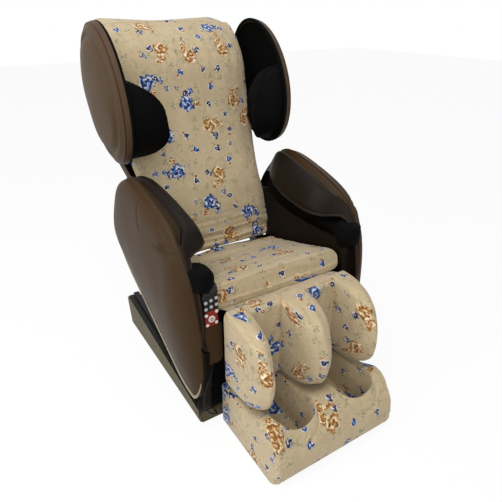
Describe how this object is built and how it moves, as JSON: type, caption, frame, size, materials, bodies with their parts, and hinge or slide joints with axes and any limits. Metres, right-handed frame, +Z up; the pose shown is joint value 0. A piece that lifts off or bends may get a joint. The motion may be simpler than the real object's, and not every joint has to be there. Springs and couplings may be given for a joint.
{
  "type": "massage chair",
  "caption": "Full-body massage armchair: reclining padded back with shoulder wings, hooded arms, lifting calf and foot rest, travelling massage carriage and wired remote.",
  "frame": {"origin": "on the floor, midway between the toe of the foot rest and the rear of the back, on the chair's middle plane", "axes": "+X to the sitter's left, +Y from the foot rest to the rear, +Z up"},
  "size_m": [0.736, 1.2262, 1.2174],
  "materials": {
    "black_steel": "satin black powder coat",
    "olive_moulding": "satin olive moulding",
    "black_plastic": "fine-textured black",
    "red_plastic": "gloss",
    "grey_enclosure": "matte",
    "rubber": "matte",
    "floral_cover": "stretch knit with a printed flower pattern",
    "brown_leather": "satin brown synthetic leather",
    "dark_leather": "dark brown synthetic leather",
    "black_fabric": "black knitted mesh",
    "champagne_trim": "champagne paint",
    "bright_steel": "brushed",
    "ivory_plastic": "satin",
    "silver_button": "silver paint",
    "white_button": "gloss"
  },
  "bodies": {
    "chair": {"base_frame": "black_steel", "left_base_rail": "olive_moulding", "right_base_rail": "olive_moulding", "base_front_bar": "olive_moulding", "base_rear_cover": "black_plastic", "rubber_feet": "rubber", "power_inlet": "black_plastic", "control_box": "grey_enclosure", "air_pump": "grey_enclosure", "seat_frame": "black_steel", "seat_cushion": "floral_cover", "left_arm_shell": "brown_leather", "right_arm_shell": "brown_leather", "left_side_wall": "dark_leather", "right_side_wall": "dark_leather", "left_arm_airbag": "black_fabric", "right_arm_airbag": "black_fabric", "arm_trim_strips": "champagne_trim", "back_actuator": "black_plastic", "leg_actuator": "black_plastic", "remote_pocket": "brown_leather", "remote_body": "black_plastic", "remote_cord": "rubber"},
    "switch": {"rocker_switch": "red_plastic"},
    "left_wheel": {"left_transport_wheel": "rubber"},
    "right_wheel": {"right_transport_wheel": "rubber"},
    "backrest": {"back_frame": "black_steel", "back_shell": "brown_leather", "back_pad": "floral_cover", "left_wing_shell": "brown_leather", "right_wing_shell": "brown_leather", "left_wing_airbag": "black_fabric", "right_wing_airbag": "black_fabric", "guide_rails": "bright_steel"},
    "screw": {"lead_screw": "bright_steel"},
    "carriage": {"massage_carriage": "black_plastic"},
    "left_rocker": {"left_massage_arm": "ivory_plastic"},
    "right_rocker": {"right_massage_arm": "ivory_plastic"},
    "back_rod": {"back_actuator_rod": "bright_steel"},
    "leg_rod": {"leg_actuator_rod": "bright_steel"},
    "leg_rest": {"leg_frame": "black_steel", "calf_pad": "floral_cover"},
    "foot_rest": {"foot_box": "floral_cover", "foot_slide_rods": "bright_steel"},
    "upper_left_wheel_roller": {"upper_left_roller": "ivory_plastic"},
    "lower_left_wheel_roller": {"lower_left_roller": "ivory_plastic"},
    "upper_right_wheel_roller": {"upper_right_roller": "ivory_plastic"},
    "lower_right_wheel_roller": {"lower_right_roller": "ivory_plastic"},
    "key_1": {"button_1": "silver_button"},
    "key_2": {"button_2": "silver_button"},
    "key_3": {"button_3": "silver_button"},
    "key_4": {"button_4": "silver_button"},
    "key_5": {"button_5": "silver_button"},
    "key_6": {"button_6": "silver_button"},
    "key_7": {"button_7": "white_button"},
    "key_8": {"button_8": "white_button"},
    "key_9": {"button_9": "white_button"},
    "key_10": {"button_10": "white_button"},
    "key_11": {"button_11": "white_button"}
  },
  "joints": [
    {"name": "back_recline", "type": "hinge", "parent": "chair", "child": "backrest", "pos_m": [0, 0.20116, 0.37366], "axis": [-1, 0, 0], "range_deg": [0, 45]},
    {"name": "back_rod_slide", "type": "slide", "parent": "chair", "child": "back_rod", "axis": [0, -0.9952, -0.0981], "range_m": [0, 0.07704]},
    {"name": "leg_raise", "type": "hinge", "parent": "chair", "child": "leg_rest", "pos_m": [0, -0.31511, 0.43], "axis": [-1, 0, 0], "range_deg": [0, 80]},
    {"name": "leg_rod_slide", "type": "slide", "parent": "chair", "child": "leg_rod", "axis": [0, -0.911, 0.4124], "range_m": [0, 0.06725]},
    {"name": "foot_extend", "type": "slide", "parent": "leg_rest", "child": "foot_rest", "axis": [0, 0, -1], "range_m": [0, 0.12], "stiffness_N_per_m": 600, "springref_m": -0.1},
    {"name": "carriage_slide", "type": "slide", "parent": "backrest", "child": "carriage", "axis": [0, 0.4226, 0.9063], "range_m": [-0.26, 0.3]},
    {"name": "screw_spin", "type": "hinge", "parent": "backrest", "child": "screw", "pos_m": [0, 0.23288, 0.35887], "axis": [0, 0.4226, 0.9063], "range_deg": [-2500, 2900]},
    {"name": "left_rock", "type": "hinge", "parent": "carriage", "child": "left_rocker", "pos_m": [0, 0.37685, 0.75515], "axis": [1, 0, 0], "range_deg": [-8, 8]},
    {"name": "right_rock", "type": "hinge", "parent": "carriage", "child": "right_rocker", "pos_m": [0, 0.37685, 0.75515], "axis": [1, 0, 0], "range_deg": [-8, 8]},
    {"name": "upper_left_roller_spin", "type": "hinge", "parent": "left_rocker", "child": "upper_left_wheel_roller", "pos_m": [0, 0.40558, 0.81678], "axis": [1, 0, 0], "continuous": true},
    {"name": "lower_left_roller_spin", "type": "hinge", "parent": "left_rocker", "child": "lower_left_wheel_roller", "pos_m": [0, 0.34811, 0.69352], "axis": [1, 0, 0], "continuous": true},
    {"name": "upper_right_roller_spin", "type": "hinge", "parent": "right_rocker", "child": "upper_right_wheel_roller", "pos_m": [0, 0.40558, 0.81678], "axis": [1, 0, 0], "continuous": true},
    {"name": "lower_right_roller_spin", "type": "hinge", "parent": "right_rocker", "child": "lower_right_wheel_roller", "pos_m": [0, 0.34811, 0.69352], "axis": [1, 0, 0], "continuous": true},
    {"name": "left_wheel_spin", "type": "hinge", "parent": "chair", "child": "left_wheel", "pos_m": [0, 0.36689, 0.035], "axis": [1, 0, 0], "continuous": true},
    {"name": "right_wheel_spin", "type": "hinge", "parent": "chair", "child": "right_wheel", "pos_m": [0, 0.36689, 0.035], "axis": [1, 0, 0], "continuous": true},
    {"name": "switch_rock", "type": "hinge", "parent": "chair", "child": "switch", "pos_m": [-0.102, 0.40989, 0.06], "axis": [1, 0, 0], "range_deg": [-6, 6]},
    {"name": "key_1_press", "type": "slide", "parent": "chair", "child": "key_1", "axis": [0, 1, 0], "range_m": [0, 0.0014], "stiffness_N_per_m": 500, "springref_m": -0.0008},
    {"name": "key_2_press", "type": "slide", "parent": "chair", "child": "key_2", "axis": [0, 1, 0], "range_m": [0, 0.0014], "stiffness_N_per_m": 500, "springref_m": -0.0008},
    {"name": "key_3_press", "type": "slide", "parent": "chair", "child": "key_3", "axis": [0, 1, 0], "range_m": [0, 0.0014], "stiffness_N_per_m": 500, "springref_m": -0.0008},
    {"name": "key_4_press", "type": "slide", "parent": "chair", "child": "key_4", "axis": [0, 1, 0], "range_m": [0, 0.0014], "stiffness_N_per_m": 500, "springref_m": -0.0008},
    {"name": "key_5_press", "type": "slide", "parent": "chair", "child": "key_5", "axis": [0, 1, 0], "range_m": [0, 0.0014], "stiffness_N_per_m": 500, "springref_m": -0.0008},
    {"name": "key_6_press", "type": "slide", "parent": "chair", "child": "key_6", "axis": [0, 1, 0], "range_m": [0, 0.0014], "stiffness_N_per_m": 500, "springref_m": -0.0008},
    {"name": "key_7_press", "type": "slide", "parent": "chair", "child": "key_7", "axis": [0, 1, 0], "range_m": [0, 0.0014], "stiffness_N_per_m": 500, "springref_m": -0.0008},
    {"name": "key_8_press", "type": "slide", "parent": "chair", "child": "key_8", "axis": [0, 1, 0], "range_m": [0, 0.0014], "stiffness_N_per_m": 500, "springref_m": -0.0008},
    {"name": "key_9_press", "type": "slide", "parent": "chair", "child": "key_9", "axis": [0, 1, 0], "range_m": [0, 0.0014], "stiffness_N_per_m": 500, "springref_m": -0.0008},
    {"name": "key_10_press", "type": "slide", "parent": "chair", "child": "key_10", "axis": [0, 1, 0], "range_m": [0, 0.0014], "stiffness_N_per_m": 500, "springref_m": -0.0008},
    {"name": "key_11_press", "type": "slide", "parent": "chair", "child": "key_11", "axis": [0, 1, 0], "range_m": [0, 0.0014], "stiffness_N_per_m": 500, "springref_m": -0.0008}
  ],
  "couplings": [
    {"joint": "back_rod_slide", "follows": "back_recline", "m_per_rad": 0.09745},
    {"joint": "leg_rod_slide", "follows": "leg_raise", "m_per_rad": 0.047807},
    {"joint": "right_rock", "follows": "left_rock", "ratio": -1},
    {"joint": "screw_spin", "follows": "carriage_slide", "rad_per_m": 157.08}
  ]
}
